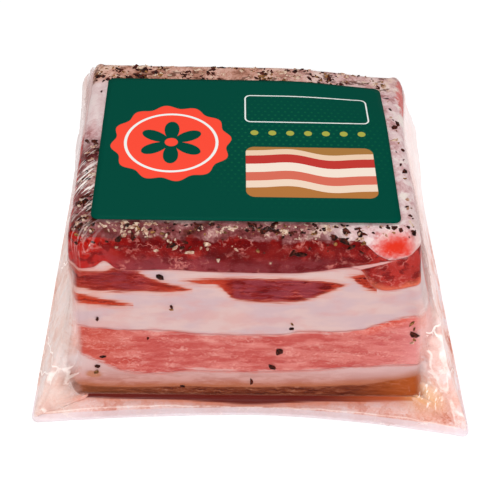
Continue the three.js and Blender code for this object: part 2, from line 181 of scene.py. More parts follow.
class Stations:
    """Places round a rounded rectangle, anticlockwise from the front's left end."""

    def __init__(self, front, right, back, left, corner):
        quarter, along, angle = [], [], []
        for q, steps in enumerate((front, right, back, left)):
            first = (q - 1) * math.pi / 2
            quarter += [q] * (steps + corner)
            along += [i / steps for i in range(steps)] + [1] * corner
            angle += [first] * steps + [first + i / corner * math.pi / 2 for i in range(corner)]
        self.quarter = np.array(quarter)
        self.along = np.array(along, float)
        self.angle = np.array(angle)
        self.corner_of_front = front  # the first station past the front's straight side
        self.count = len(quarter)

    def on_rectangle(self, left, right, front, back, radius):
        """(x, y) of every station. The sides may be numbers or (rows, 1 or count) arrays."""
        x0, x1, y0, y1 = left + radius, right - radius, front + radius, back - radius
        xs = [(x0, x1), (x1, x1), (x1, x0), (x0, x0)]
        ys = [(y0, y0), (y0, y1), (y1, y1), (y1, y0)]
        on_side = [self.quarter == q for q in range(4)]
        x = np.select(on_side, [lerp(*ends, self.along) for ends in xs])
        y = np.select(on_side, [lerp(*ends, self.along) for ends in ys])
        return np.stack([x + radius * np.cos(self.angle), y + radius * np.sin(self.angle)], -1)


ROUND = Stations(front=150, right=116, back=100, left=116, corner=12)


def edge_inset(z):
    """How far the top and bottom edges are rounded in at a height."""
    above = np.clip(z - (BLOCK_TOP - TOP_EDGE), 0, TOP_EDGE)
    below = np.clip(BLOCK_BOTTOM + BOTTOM_EDGE - z, 0, BOTTOM_EDGE)
    at_top = TOP_EDGE - np.sqrt(TOP_EDGE**2 - above**2)
    return at_top + (BOTTOM_EDGE - np.sqrt(BOTTOM_EDGE**2 - below**2))


def lump(angle, z):
    return LUMP * (np.sin(3 * angle + z / 9) + np.sin(5 * angle - z / 6))


def front_face(z):
    """Where the cut face at the front is, at a height."""
    return float(through(FRONT_SIDE, z) - lump(-math.pi / 2, z) + edge_inset(z))


def block_outline(z, grow=0):
    """The block's outline at heights z, an array that ends in one value a station."""
    out = grow + lump(ROUND.angle, z) - edge_inset(z)
    xy = ROUND.on_rectangle(
        through(LEFT_SIDE, z) - out,
        through(RIGHT_SIDE, z) + out,
        through(FRONT_SIDE, z) - out,
        through(BACK_SIDE, z) + out,
        np.maximum(through(BLOCK_CORNER, z) + out, 1),
    )
    xy[..., 0] += BACK_RIGHT["flare"] * back_right(xy[..., 0], xy[..., 1], z)
    return xy


def back_right(x, y, z):
    """How much of a point is in the block's top back right corner, from 0 to 1."""
    sideways = smoothstep(x, *BACK_RIGHT["right"]) * smoothstep(y, *BACK_RIGHT["back"])
    return sideways * smoothstep(z, *BACK_RIGHT["up"])


def sag(x, y, z):
    return BACK_RIGHT["sag"] * back_right(x, y, z)


def place(xy, z):
    """3-D points from plan points and undisturbed heights."""
    x, y = xy[..., 0], xy[..., 1]
    return np.stack([x, y, z - sag(x, y, z)], -1)


def seam_height(stops, x, y, phase):
    back = smoothstep(y, through(FRONT_SIDE, BLOCK_TOP), 30)
    wander = np.sin(x / 15 + phase) + np.cos(y / 13 + 2 * phase) - math.cos(2 * phase)
    return through(stops, x) + SEAM_WAVE * back * wander


SEAMS = {
    "bottom": lambda x, y: BLOCK_BOTTOM + 0 * x,
    "fat_lean": lambda x, y: seam_height(FAT_LEAN_SEAM, x, y, 0.4),
    "lean_fat": lambda x, y: seam_height(LEAN_FAT_SEAM, x, y, 1.7),
    "fat_top_lean": lambda x, y: seam_height(FAT_TOP_LEAN_SEAM, x, y, 2.9),
    "cap": lambda x, y: np.minimum(seam_height(CAP_SEAM, x, y, 4.4), BLOCK_TOP - CAP_THINNEST),
    "top": lambda x, y: BLOCK_TOP + 0 * x,
}


def wall_height(seam):
    """The height at which each station's wall meets a seam."""
    z = np.full(ROUND.count, BLOCK_TOP / 2)
    for _ in range(8):
        xy = block_outline(z)
        z = SEAMS[seam](xy[..., 0], xy[..., 1])
    return z


def top_height(x, y):
    """The height of the block's top at a plan point, its rounded edge included."""
    z = BLOCK_TOP - TOP_EDGE
    left, right = through(LEFT_SIDE, z), through(RIGHT_SIDE, z)
    front, back = through(FRONT_SIDE, z), through(BACK_SIDE, z)
    corner = through(BLOCK_CORNER, z)
    dx = np.abs(x - (left + right) / 2) - (right - left) / 2 + corner
    dy = np.abs(y - (front + back) / 2) - (back - front) / 2 + corner
    beyond = np.hypot(np.maximum(dx, 0), np.maximum(dy, 0)) + np.minimum(np.maximum(dx, dy), 0)
    inside = np.clip(corner - beyond, 0, TOP_EDGE)
    drop = TOP_EDGE - np.sqrt(TOP_EDGE**2 - (TOP_EDGE - inside) ** 2)
    return BLOCK_TOP - drop - sag(x, y, BLOCK_TOP)


def distance_round(xy):
    """How far round the block each point is: x on the front, more to its right, less to its left."""
    step = np.linalg.norm(np.diff(xy, axis=-2), axis=-1)
    arc = np.concatenate([np.zeros(xy.shape[:-2] + (1,)), np.cumsum(step, axis=-1)], -1)
    front_end = ROUND.corner_of_front
    whole = arc[..., -1:] + np.linalg.norm(xy[..., :1, :] - xy[..., -1:, :], axis=-1)
    right = xy[..., front_end : front_end + 1, 0] + arc - arc[..., front_end : front_end + 1]
    left = xy[..., :1, 0] + arc - whole
    left_side = ROUND.quarter == 3
    return np.where(left_side, left, np.where(np.arange(ROUND.count) <= front_end, xy[..., 0], right))


# ------------------------------------------------------------------------ mesh helpers


def make_object(name, points, faces, material, fields=None, smooth=None):
    """A mesh object from points in millimetres. Only the faces marked smooth are shaded smoothly."""
    mesh = bpy.data.meshes.new(name)
    mesh.from_pydata((np.asarray(points) * MM).tolist(), [], faces)
    mesh.update()
    for field, values in (fields or {}).items():
        attribute = mesh.attributes.new(field, "FLOAT", "POINT")
        attribute.data.foreach_set("value", np.asarray(values, np.float32).ravel())
    mesh.materials.append(material)
    if smooth is not None:
        mesh.polygons.foreach_set("use_smooth", smooth)
    piece = bpy.data.objects.new(name, mesh)
    bpy.context.scene.collection.objects.link(piece)
    return piece


def skin(name, rings, material, fields=None, smooth_rings=None):
    """A closed mesh over a stack of rings, whose first and last ring shrink to a point.

    It is shaded smoothly between two of its rings, or all over where none are given.
    """
    rows, around = rings.shape[:2]

    def packed(values):
        inner = values[1:-1].reshape(-1, *values.shape[2:])
        return np.concatenate([values[:1].mean(axis=1), inner, values[-1:].mean(axis=1)])

    here = np.arange(around)
    after = (here + 1) % around
    low = 1 + around * np.arange(rows - 3)[:, None]
    quads = np.stack([low + here, low + after, low + around + after, low + around + here], -1)
    last = 1 + around * (rows - 3)
    tip = last + around
    faces = [(0, 1 + b, 1 + a) for a, b in zip(here.tolist(), after.tolist())]
    faces += quads.reshape(-1, 4).tolist()
    faces += [(last + a, last + b, tip) for a, b in zip(here.tolist(), after.tolist())]
    shared = {field: packed(values) for field, values in (fields or {}).items()}
    first, final = smooth_rings or (0, rows)
    band = np.arange(rows - 1).repeat(around)
    smooth = (band >= first) & (band + 1 <= final)
    return make_object(name, packed(rings), faces, material, shared, smooth)


def outward(rings):
    """The outward unit normal at each point of a stack of rings."""
    along = np.roll(rings, -1, axis=1) - np.roll(rings, 1, axis=1)
    normal = np.cross(along, np.gradient(rings, axis=0))
    return normal / np.maximum(np.linalg.norm(normal, axis=-1, keepdims=True), 1e-9)


# --------------------------------------------------------------------------- materials

WARP_SIZE = 6  # of the noise that bends other noise


def srgb(*colour):
    """A colour seen as 0 to 255 values, as the linear RGBA that shaders take."""
    unit = np.array(colour) / 255
    linear = np.where(unit <= 0.04045, unit / 12.92, ((unit + 0.055) / 1.055) ** 2.4)
    return (*linear.tolist(), 1.0)


def plug(slot, value):
    """Links a Field or a socket to a slot, or sets the slot to a plain value."""
    if isinstance(value, Field):
        value = value.socket
    if isinstance(value, bpy.types.NodeSocket):
        slot.id_data.links.new(value, slot)
    else:
        slot.default_value = value


class Field:
    """A number that varies over a surface. Arithmetic on it adds Math nodes to its tree."""

    def __init__(self, socket):
        self.socket = socket

    def calculate(self, operation, *others):
        """The result of a Math node that takes this number first, and then the others."""
        node = self.socket.id_data.nodes.new("ShaderNodeMath")
        node.operation = operation
        for slot, value in zip(node.inputs, (self, *others)):
            plug(slot, value)
        return Field(node.outputs[0])

    __add__ = __radd__ = partialmethod(calculate, "ADD")
    __sub__ = partialmethod(calculate, "SUBTRACT")
    __mul__ = __rmul__ = partialmethod(calculate, "MULTIPLY")
    __truediv__ = partialmethod(calculate, "DIVIDE")
    absolute = partialmethod(calculate, "ABSOLUTE")
    sine = partialmethod(calculate, "SINE")
    root = partialmethod(calculate, "SQRT")
    floor = partialmethod(calculate, "FLOOR")
    fraction = partialmethod(calculate, "FRACT")
    least = partialmethod(calculate, "MINIMUM")
    most = partialmethod(calculate, "MAXIMUM")

    def __neg__(self):
        return self * -1

    def __rsub__(self, other):
        return -self + other

    def rise(self, low, high, start=0, end=1):
        """A start below low, an end above high, and smooth between them."""
        node = self.socket.id_data.nodes.new("ShaderNodeMapRange")
        node.interpolation_type = "SMOOTHSTEP"
        ranges = {"Value": self, "From Min": low, "From Max": high, "To Min": start, "To Max": end}
        for name, value in ranges.items():
            plug(node.inputs[name], value)
        return Field(node.outputs["Result"])

    def fall(self, low, high):
        return self.rise(low, high, 1, 0)


def length(x, y):
    return (x * x + y * y).root()


class Paint:
    """A material's node tree, with the places on the surface in millimetres."""

    def __init__(self, name):
        self.material = bpy.data.materials.new(name)
        self.material.use_nodes = True
        self.tree = self.material.node_tree
        self.tree.nodes.clear()
        place = self.add("TexCoord").outputs["Object"]
        self.place = self.add("VectorMath", {0: place, "Scale": 1 / MM}, operation="SCALE").outputs[0]
        self.axes = [Field(output) for output in self.add("SeparateXYZ", {0: self.place}).outputs]

    def add(self, kind, inputs=None, **settings):
        """A new shader node with its settings, and its inputs by their names or numbers."""
        node = self.tree.nodes.new("ShaderNode" + kind)
        for name, value in settings.items():
            setattr(node, name, value)
        for name, value in (inputs or {}).items():
            plug(node.inputs[name], value)
        return node

    def stretched(self, sizes, warp=0, turn=0):
        """The place divided by a size for each axis, bent by noise of warp millimetres.

        The axes are first turned about the vertical by a number of degrees.
        """
        source = self.place
        if turn:
            inputs = {"Vector": source, "Angle": -math.radians(turn)}
            source = self.add("VectorRotate", inputs, rotation_type="Z_AXIS").outputs[0]
        if warp:
            bend = self.add("TexNoise", {"Vector": self.stretched((WARP_SIZE,) * 3), "Detail": 2})
            inputs = {0: bend.outputs["Color"], 1: (0.5, 0.5, 0.5)}
            middle = self.add("VectorMath", inputs, operation="SUBTRACT").outputs[0]
            inputs = {0: middle, 1: (2 * warp,) * 3, 2: source}
            source = self.add("VectorMath", inputs, operation="MULTIPLY_ADD").outputs[0]
        return self.add("VectorMath", {0: source, 1: sizes}, operation="DIVIDE").outputs[0]

    def noise(self, size, detail=3, roughness=0.55, warp=0, shift=0, turn=0):
        """Noise from 0 to 1, with features of a size, or of one size for each axis."""
        sizes = size if isinstance(size, tuple) else (size,) * 3
        place = self.stretched(sizes, warp, turn)
        inputs = {"Vector": place, "W": shift, "Scale": 1, "Detail": detail, "Roughness": roughness}
        return Field(self.add("TexNoise", inputs, noise_dimensions="4D").outputs["Fac"])

    def wobble(self, span, *features, **settings):
        """Noise about 0, with a span from its least to its most."""
        return (self.noise(*features, **settings) - 0.5) * span

    def field(self, name):
        return Field(self.add("Attribute", attribute_name=name).outputs["Fac"])

    def fields(self, *names):
        return [self.field(name) for name in names]

    def mix(self, share, first, second):
        inputs = {0: share, 6: first, 7: second}
        return self.add("Mix", inputs, data_type="RGBA", clamp_factor=True).outputs[2]

    def coats(self, colour, *coats):
        """A colour under coats of (share, red, green, blue) or (share, socket), one by one."""
        for share, *coat in coats:
            colour = self.mix(share, colour, srgb(*coat) if len(coat) == 3 else coat[0])
        return colour

    def ramp(self, value, *stops, between="LINEAR"):
        """A colour from a value of 0 to 1, through stops of (value, red, green, blue)."""
        node = self.add("ValToRGB", {0: value})
        node.color_ramp.interpolation = between
        elements = node.color_ramp.elements
        while len(elements) < len(stops):
            elements.new(0.5)
        for element, (at, *colour) in zip(elements, stops):
            element.position = at
            element.color = srgb(*colour)
        return node.outputs["Color"]

    def bump(self, height, strength, distance):
        inputs = {"Strength": strength, "Distance": distance * MM, "Height": height}
        return self.add("Bump", inputs).outputs["Normal"]

    def shader(self, kind, **inputs):
        """A shader, whose inputs are named with underscores for spaces."""
        return self.add(kind, {name.replace("_", " "): value for name, value in inputs.items()}).outputs[0]

    def blend(self, share, first, second):
        """A shader that goes from a first to a second by a share."""
        return self.add("MixShader", {0: share, 1: first, 2: second}).outputs[0]

    def finish(self, shader):
        self.add("OutputMaterial", {"Surface": shader})
        return self.material

    def coated(self, colour, roughness, specular, normal):
        """The finished material of an opaque surface."""
        surface = {"Base_Color": colour, "Roughness": roughness, "Normal": normal}
        return self.finish(self.shader("BsdfPrincipled", Specular_IOR_Level=specular, **surface))


def food(paint, colour, relief, roughness=0.42, strength=0.4):
    """The moist surface that all the food has under its film."""
    return paint.coated(colour, roughness, 0.05, paint.bump(relief, strength, 0.14))


def fat_colour(paint):
    """Pale fat with lilac and pink patches."""
    patches = paint.noise((11, 11, 4), 3, shift=1).rise(0.4, 0.6)
    warm = paint.noise((9, 9, 4), 4, 0.6, shift=4).rise(0.46, 0.64)
    return paint.coats(srgb(210, 178, 174), (patches, 200, 170, 173), (warm * 0.5, 208, 154, 149))


def curls(paint, size, width, shift):
    """Short thin threads that bend every way, from 0 to 1."""
    line = (paint.noise(size, 1, 0.5, warp=1.8, shift=shift) - 0.5).absolute().fall(width * 0.3, width)
    return line * paint.noise(size, 2, shift=shift + 0.5).rise(0.5, 0.6)


def fat_upper_material():
    paint = Paint("fat with lean streaks")
    x = paint.axes[0]
    low, high, streak, warm = paint.fields("low", "high", "streak", "warm")
    ragged = paint.wobble(3.4, (8, 8, 0.6), 4, 0.6, shift=2)
    inside = streak + ragged
    fibres = paint.noise((8, 8, 0.55), 4, 0.62, warp=0.8, shift=3)
    purple = paint.noise((5, 5, 2.4), 3, 0.6, shift=28).rise(0.4, 0.56) * warm.fall(0.05, 0.3)
    lean = paint.coats(
        paint.ramp(fibres, (0.34, 78, 0, 2), (0.45, 112, 12, 12), (0.55, 140, 34, 32), (0.66, 184, 82, 72)),
        (purple * 0.65, 140, 56, 66),
        (warm * fibres.rise(0.36, 0.56) * 0.9, 190, 58, 30),
        (inside.fall(0.1, 1.1) * 0.5, 188, 84, 58),
    )
    blush = (streak + ragged * 1.4).rise(-1.6, 0.1)
    touch = low.least(high) + ragged * 0.8
    colour = paint.coats(
        fat_colour(paint),
        (blush * 0.6, 214, 142, 124),
        (inside.rise(-0.35, 0.4), lean),
        (x.rise(43, 49) * 0.7, 238, 224, 222),
        (touch.fall(-0.1, 0.9) * 0.6, 198, 108, 100),
    )
    return food(paint, colour, fibres * inside.rise(-0.3, 0.3))


def fat_lower_material():
    paint = Paint("fat with rind")
    x, y, z = paint.axes
    low, high, rind_top = paint.fields("low", "high", "rind")
    above_rind = rind_top + paint.wobble(1.6, (8, 8, 1.5), 4, shift=5)
    soft = paint.noise((7, 7, 1.6), 4, 0.6, shift=6)
    smear = length(x + 44, (z - 9.6) * 2) + paint.wobble(3, 2, 3, shift=40)
    grain = paint.noise((5, 5, 0.6), 5, 0.66, warp=0.8, shift=7)
    rind = paint.coats(
        paint.ramp(grain, (0.34, 70, 24, 16), (0.46, 102, 42, 26), (0.57, 130, 64, 40), (0.68, 170, 116, 92)),
        (x.rise(26, 50) * 0.8, 186, 90, 34),
        (x.fall(-46, -20) * 0.5, 146, 82, 50),
        (z.fall(1.3, 2.6) * 0.8, 64, 18, 14),
    )
    touch = high + (grain - 0.5) * 2.4
    colour = paint.coats(
        srgb(196, 138, 128),
        (soft.rise(0.4, 0.6), 174, 104, 88),
        # Painted shade: lighter from 5 to 13 mm above the bottom, so the fat is darker and tanner near the
        # block's foot.
        (low.rise(5, 13), 208, 170, 168),
        (x.fall(-50, -42) * z.rise(9, 14) * 0.7, 212, 190, 186),
        (smear.fall(1.2, 3) * y.fall(-40, -38) * 0.7, 178, 104, 58),
        (above_rind.fall(0.1, 2.6) * 0.85, 170, 96, 62),
        (above_rind.fall(-0.4, 0.35), rind),
        (touch.fall(-0.1, 0.9) * 0.7, 204, 112, 102),
    )
    return food(paint, colour, grain)


def lean_lower_material():
    paint = Paint("pale lean")
    x = paint.axes[0]
    low, high = paint.fields("low", "high")
    tone = paint.noise((10, 10, 2.4), 4, 0.6, shift=8)
    orange = x.rise(24, 36) * (high + (tone - 0.5) * 8).fall(1, 4)
    fibres = paint.noise((8, 8, 0.6), 4, 0.65, warp=1.6, shift=9)
    threads = (paint.noise((11, 11, 1.1), 2, 0.5, warp=1.8, shift=10) - 0.5).absolute().fall(0.01, 0.04)
    threads = threads * paint.noise((10, 10, 3), 2, shift=11).rise(0.44, 0.56)
    cloud = paint.noise((5, 5, 2), 3, 0.6, warp=1, shift=30).rise(0.62, 0.72)
    touch = low.least(high) + paint.wobble(5, (6, 6, 0.8), 3, shift=23)
    colour = paint.coats(
        srgb(188, 82, 76),
        (tone.rise(0.4, 0.6), 208, 120, 112),
        (x.fall(-46, -24) * 0.7, 188, 66, 46),
        (x.rise(24, 42) * 0.4, 208, 110, 110),
        (orange * 0.75, 212, 78, 54),
        (fibres.fall(0.36, 0.48) * 0.45, 168, 52, 50),
        (fibres.rise(0.52, 0.7) * 0.5, 232, 154, 144),
        (threads * 0.35, 238, 180, 168),
        (cloud * 0.4, 228, 160, 150),
        (x.fall(-48.6, -46) * 0.75, 226, 190, 180),
        (x.rise(38, 50) * 0.6, 240, 172, 170),
        (touch.fall(-0.4, 0.6), 212, 158, 152),
    )
    return food(paint, colour, fibres + threads * 0.3)


def crust_patches(paint):
    return paint.noise((5, 5, 4), 4, 0.6, warp=2, shift=16)


def crust_edge(paint, above_seam):
    """1 where the crust covers the lean under it, along an edge that wanders about the seam."""
    return (above_seam + paint.wobble(7, (3.4, 3.4, 4), 4, 0.6, shift=32)).rise(-0.6, 0.5)


def mauve_crust(paint, patches):
    return paint.ramp(
        patches, (0.34, 84, 26, 28), (0.45, 114, 52, 52), (0.55, 146, 88, 88), (0.66, 204, 166, 156)
    )


def lean_upper_material():
    """Deep red lean: bright at its left end, mauve below, and a lobe at its right end."""
    paint = Paint("dark lean")
    x, y, z = paint.axes
    low, high = paint.fields("low", "high")
    tone = paint.noise((6, 6, 4), 5, 0.62, warp=2.2, shift=12)
    spread = tone - 0.5
    blobs = paint.noise((3.4, 3.4, 2.2), 3, 0.55, warp=1.2, shift=29)
    mauve = (low + paint.wobble(9, (8, 8, 3), 4, shift=13)).fall(1.5, 6) * x.fall(12, 30)
    right = (x + spread * 16).rise(26, 36)
    rim = (low + spread * 7).fall(0.2, 2.6)
    threads = curls(paint, 7, 0.018, 14).most(curls(paint, 4, 0.03, 24) * 0.7)
    soft = paint.noise((3, 3, 2), 3, shift=25).rise(0.6, 0.7)
    pale_side = (x + spread * 6).fall(-47, -44) * (y + spread * 30).rise(-2, 6)
    wedge = (z - 47.3 - (x - 26) * 0.3).absolute() - (37 - x) * 0.055
    wedge = (wedge + spread * 0.8).fall(0, 0.35) * x.rise(24.5, 26) * x.fall(34, 37) * y.fall(-30, -28)
    touch = low + paint.wobble(1.6, (5, 5, 1.5), 3, shift=15)
    colour = paint.coats(
        paint.ramp(tone, (0.3, 66, 0, 2), (0.42, 98, 4, 4), (0.54, 128, 14, 12), (0.68, 162, 40, 32)),
        (mauve * 0.8, 138, 54, 60),
        (x.rise(-16, -4) * x.fall(20, 28) * 0.3, 84, 4, 4),
        ((x + spread * 22).fall(-44, -30) * 0.8, 184, 24, 12),
        (right * 0.6, 196, 58, 50),
        (blobs.rise(0.52, 0.57) * 0.65, 92, 4, 8),
        (right * rim * 0.8, 220, 112, 84),
        (threads * 0.6, 216, 132, 122),
        (soft * 0.35, 170, 70, 68),
        (pale_side * 0.85, 222, 190, 186),
        (wedge * 0.85, 222, 168, 164),
        (crust_edge(paint, -high) * (1 - pale_side), mauve_crust(paint, crust_patches(paint))),
        (touch.fall(-0.4, 0.3) * 0.8, 182, 90, 86),
    )
    return food(paint, colour, threads * 0.6 + tone, roughness=0.36)


def cap_material():
    """Fat that is mauve at the front left, tan at the back, pale elsewhere, and rose in spots."""
    paint = Paint("peppered fat")
    x, y, z = paint.axes
    patches = crust_patches(paint)
    spread = patches - 0.5
    pale = paint.ramp(
        patches, (0.32, 168, 112, 112), (0.43, 206, 164, 164), (0.54, 226, 200, 200), (0.66, 236, 222, 214)
    )
    tan = paint.ramp(
        patches, (0.34, 128, 78, 56), (0.45, 180, 124, 102), (0.55, 206, 154, 136), (0.68, 228, 194, 176)
    )
    blur = paint.wobble(14, 9, 3, shift=26)
    front = (y + blur * 0.3).fall(-36, -31) * (x + blur).fall(14, 28)
    low_left = (x + blur * 0.3).fall(-42, -38) * (y + blur * 0.6).fall(-8, 2)
    back = (y + blur * 0.3).rise(24, 28)
    back_left = back * (x + blur).fall(0, 30)
    smooth_left = x.fall(-43, -40) * y.rise(2, 10) * back.fall(0, 0.6)
    smear = paint.noise((4, 2.4, 2.4), 4, 0.65, shift=27).rise(0.54, 0.61)
    smear = smear * back.most(front * 0.7).most(low_left * 0.5)
    cream = paint.noise(2, 3, 0.6, shift=33).rise(0.58, 0.64) * back.most(front)
    from_x, from_z = x - 36, z - 54.5
    front_rose = (from_x * from_x * 0.03 + from_z * from_z * 0.1 + spread * 2).fall(0.1, 1.9)
    from_x, from_y = x - 45, y - 22
    right_rose = (from_x * from_x * 0.12 + from_y * from_y * 0.007 + spread * 2.6).fall(0.4, 1.1)
    bites = (1 - crust_edge(paint, paint.field("low"))) * x.fall(24, 30) * y.fall(-34, -28)
    colour = paint.coats(
        pale,
        (front.most(low_left), mauve_crust(paint, patches)),
        (back_left * 0.6 + back * 0.3, tan),
        (smooth_left * 0.6, 228, 208, 206),
        (smear * 0.8, 84, 42, 24),
        (cream * 0.7, 224, 196, 172),
        (front_rose * y.fall(-38, -34), 216, 50, 30),
        (x.rise(39, 42) * y.fall(-30, -24) * 0.6, 226, 206, 202),
        (right_rose * 0.8, 206, 80, 72),
        (bites * z.fall(56.8, 57.7), 124, 24, 20),
    )
    return food(paint, colour, patches + paint.noise(1.4, 3), strength=0.6)


def grain_material(name, dark, light):
    paint = Paint(name)
    colour = paint.coats(srgb(*dark), (paint.noise(0.9, 3).rise(0.4, 0.62), *light))
    return paint.coated(colour, 0.5, 0.1, paint.bump(paint.noise(0.3), 0.6, 0.1))


def film_material():
    """Film that is clear where it lies on the food, and milky where it stands off, with painted light in its
    colour.
    """
    paint = Paint("clear film")
    x, y, z = paint.axes
    haze, seal, foot, stain = paint.fields("haze", "seal", "foot", "stain")
    gold, cool, glints, fold, near_fold = paint.fields("gold", "cool", "glints", "fold", "near_fold")
    speck = paint.noise(1.5, 4, 0.7, shift=19)
    cloud = paint.noise((7, 7, 9), 5, 0.62, warp=3, shift=20)
    loose = haze.rise(0.2, 0.6)
    # Painted highlights on the film's crinkles.
    crinkle_glints = curls(paint, (6, 6, 10), 0.02, 34) * loose * foot.fall(0, 0.4)
    broken = paint.noise(4, 3, shift=36).rise(0.3, 0.46)
    # Painted light along each crease: line is a pale painted highlight on it, and shade a painted shade on
    # one side of it.
    line = (fold + (speck - 0.5) * 0.5).absolute().fall(0.03, 0.34) * near_fold * broken
    shade = (fold - 0.6).absolute().fall(0.1, 0.5) * near_fold * broken
    # Painted golden-white glints at the right foot.
    golden_glints = paint.noise((1, 1, 5), 3, 0.6, turn=30, shift=37).rise(0.56, 0.64) * gold.rise(0.2, 0.6)
    # The milky film's colour: its white haze is the film's own, and its pink and tan are painted reflected
    # colour of the meat inside.
    milk = paint.ramp(
        cloud, (0.34, 206, 126, 108), (0.43, 228, 172, 158), (0.52, 238, 202, 196), (0.62, 238, 220, 222)
    )
    tint = paint.coats(
        milk,
        # Painted light: the film is made paler towards the right, low down and at the back, where the lamps
        # light it less.
        (x.rise(40, 52) * z.rise(8, 20) * 0.55, 240, 214, 208),
        (x.rise(40, 50) * y.rise(6, 28) * 0.6, 254, 246, 246),
        (x.fall(-52, -46) * 0.45, 222, 204, 192),
        (speck.rise(0.58, 0.72) * 0.35, 214, 146, 126),
        # Painted reflection and shadow in the strip under the rind: a tan of the rind's reflected colour,
        # then a dark painted shadow along the block's foot, warmer to the right.
        (foot * (x.absolute().fall(18, 48) * 0.35 + 0.55), 188, 104, 76),
        (foot.rise(0.93, 1), paint.coats(srgb(91, 14, 4), (x.rise(16, 46), 176, 80, 40))),
        (gold * 0.8, 234, 178, 118),
        # Whiter, bluish parts of the film; at the low front right corner this is a painted highlight.
        (cool * 0.8, 226, 216, 218),
        (seal * 0.85, 234, 222, 228),
        (stain, 150, 80, 46),
        # Painted shade beside the creases.
        (shade * 0.45, 206, 148, 136),
        # Painted highlights in white: the crease lines, the glints at the top left, the crinkles and the
        # golden glints.
        ((line * 0.75).most(glints).most(crinkle_glints * 0.45).most(golden_glints * 0.8), 255, 246, 240),
    )
    # Painted glints: diagonal streaks at the top left, which also make the film less clear there.
    streaks = paint.noise((6, 0.75, 5), 3, 0.6, turn=50, shift=22)
    glint = streaks.rise(0.53, 0.59) * glints
    share = haze + (speck - 0.5) * 0.25 * loose + line * 0.4 + glint * 0.85 + golden_glints * 0.4
    share = share.most(0.0).least(foot.rise(0.5, 0.9) * 0.04 + 0.96)
    normal = paint.bump(paint.noise(3.2, 3, 0.6, warp=1, shift=21) + streaks * glints + line * 0.5, 0.35, 0.3)
    # Painted glow: the film gives off a little light in its own colour, where it would only scatter the
    # lamps' light.
    glow = {"Emission_Color": tint, "Emission_Strength": 0.16}
    milky = paint.shader(
        "BsdfPrincipled", Base_Color=tint, Roughness=0.4, Normal=normal, Specular_IOR_Level=0.2, **glow
    )
    body = paint.blend(share, paint.shader("BsdfTransparent"), milky)
    gloss = paint.shader("BsdfGlossy", Roughness=0.14, Normal=normal)
    edge = Field(paint.add("Fresnel", {"IOR": 1.4, "Normal": normal}).outputs[0])
    return paint.finish(paint.blend(edge * 0.1, body, gloss))


LABEL_GREEN = (0, 71, 57)
LABEL_RED = (248, 76, 56)
LABEL_WHITE = (236, 240, 236)
PRINT_EDGE = 0.07  # half the width of a printed edge's blur


def printed(signed):
    """1 inside a printed shape and 0 outside, from the distance to its edge."""
    return signed.fall(-PRINT_EDGE, PRINT_EDGE)


def rounded_box(x, y, half_width, half_height, corner):
    """The distance to a rounded box's edge, less than 0 inside it."""
    across = (x.absolute() - (half_width - corner)).most(0.0)
    return length(across, (y.absolute() - (half_height - corner)).most(0.0)) - corner


def repeated(place, step, shift=0):
    """The distance from the middle of the nearest of many cells of a step along a line."""
    return ((place / step + (shift + 50)).fraction() - 0.5) * step


def label_material():
    """Dark green print: a scalloped badge, an empty frame, a row of beads and wavy bands."""
    paint = Paint("label print")
    x, y = paint.axes[0] - LABEL["x"], paint.axes[1] - LABEL["y"]
    across, down = 1.9, 1.65
    row = (y / down + 50).floor()
    dot_x = ((x / across + row * 0.5 + 50).fraction() - 0.5) * across
    dots = length(dot_x, repeated(y, down)).fall(0.2, 0.45) * length(x - 14, y * 1.2).fall(12, 36)

    badge_x, badge_y = x + 20.5, y - 1
    angle = badge_y.calculate("ARCTAN2", badge_x)
    far = length(badge_x, badge_y)

    right_x = x - 17.5  # from the middle of the frame, the beads and the bands
    frame_edge = rounded_box(right_x, y - 17, 17.5, 6.2, 1.6)
    bead_x = repeated(right_x, 5, 0.5)
    beads = printed(length(bead_x, y - 5.8) - 1.1) * printed(right_x.absolute() - 17)
    panel_y = y + 11
    panel = rounded_box(right_x, panel_y, 17.5, 10.5, 2.5)
    wave = panel_y + (right_x / 6).sine() * 1.2 + (right_x / 2.6).sine() * 0.35
    bands = paint.ramp(
        wave / 22 + 0.5,
        (0.0, 178, 116, 60), (0.17, 238, 212, 190), (0.3, 214, 108, 88), (0.46, 242, 224, 208),
        (0.62, 190, 56, 50), (0.78, 234, 202, 174), (0.88, 168, 118, 62), between="CONSTANT",
    )
    colour = paint.coats(
        srgb(*LABEL_GREEN),
        (dots * 0.55, 20, 104, 66),
        (printed(far - 16 - (angle * 12).sine() * 0.7), *LABEL_RED),
        (printed((far - 12.6).absolute() - 0.4), *LABEL_WHITE),
        (printed(far - 3 - (angle * 3).sine().absolute() * 6.2), *LABEL_GREEN),
        (printed(far - 1.8), *LABEL_RED),
        (printed(frame_edge.absolute() - 0.2), *LABEL_WHITE),
        (beads, 168, 168, 72),
        (printed(panel), bands),
    )
    return paint.coated(colour, 0.45, 0.02, paint.bump(paint.noise(0.7, 2), 0.15, 0.03))


# ---------------------------------------------------------------------- food by layers


def streak_fields(around, z):
    """How far inside the nearest lean streak each place is, and how warm its red is."""
    inside = np.full(z.shape, -20.0)
    warm = np.zeros(z.shape)
    for streak in STREAKS:
        here = np.minimum(through(streak["top"], around) - z, z - through(streak["bottom"], around))
        ends = streak["top"][0][0], streak["top"][-1][0]
        here = np.where((around < ends[0]) | (around > ends[1]), -20, here)
        warm = np.where(here > inside, through(streak["warm"], around), warm)
        inside = np.maximum(inside, here)
    return inside, warm


def bumps(points):
    """The food's small unevenness."""
    return 0.1 * noise(points, 2.6, 1) + 0.16 * noise(points, 9, 2) - 0.1


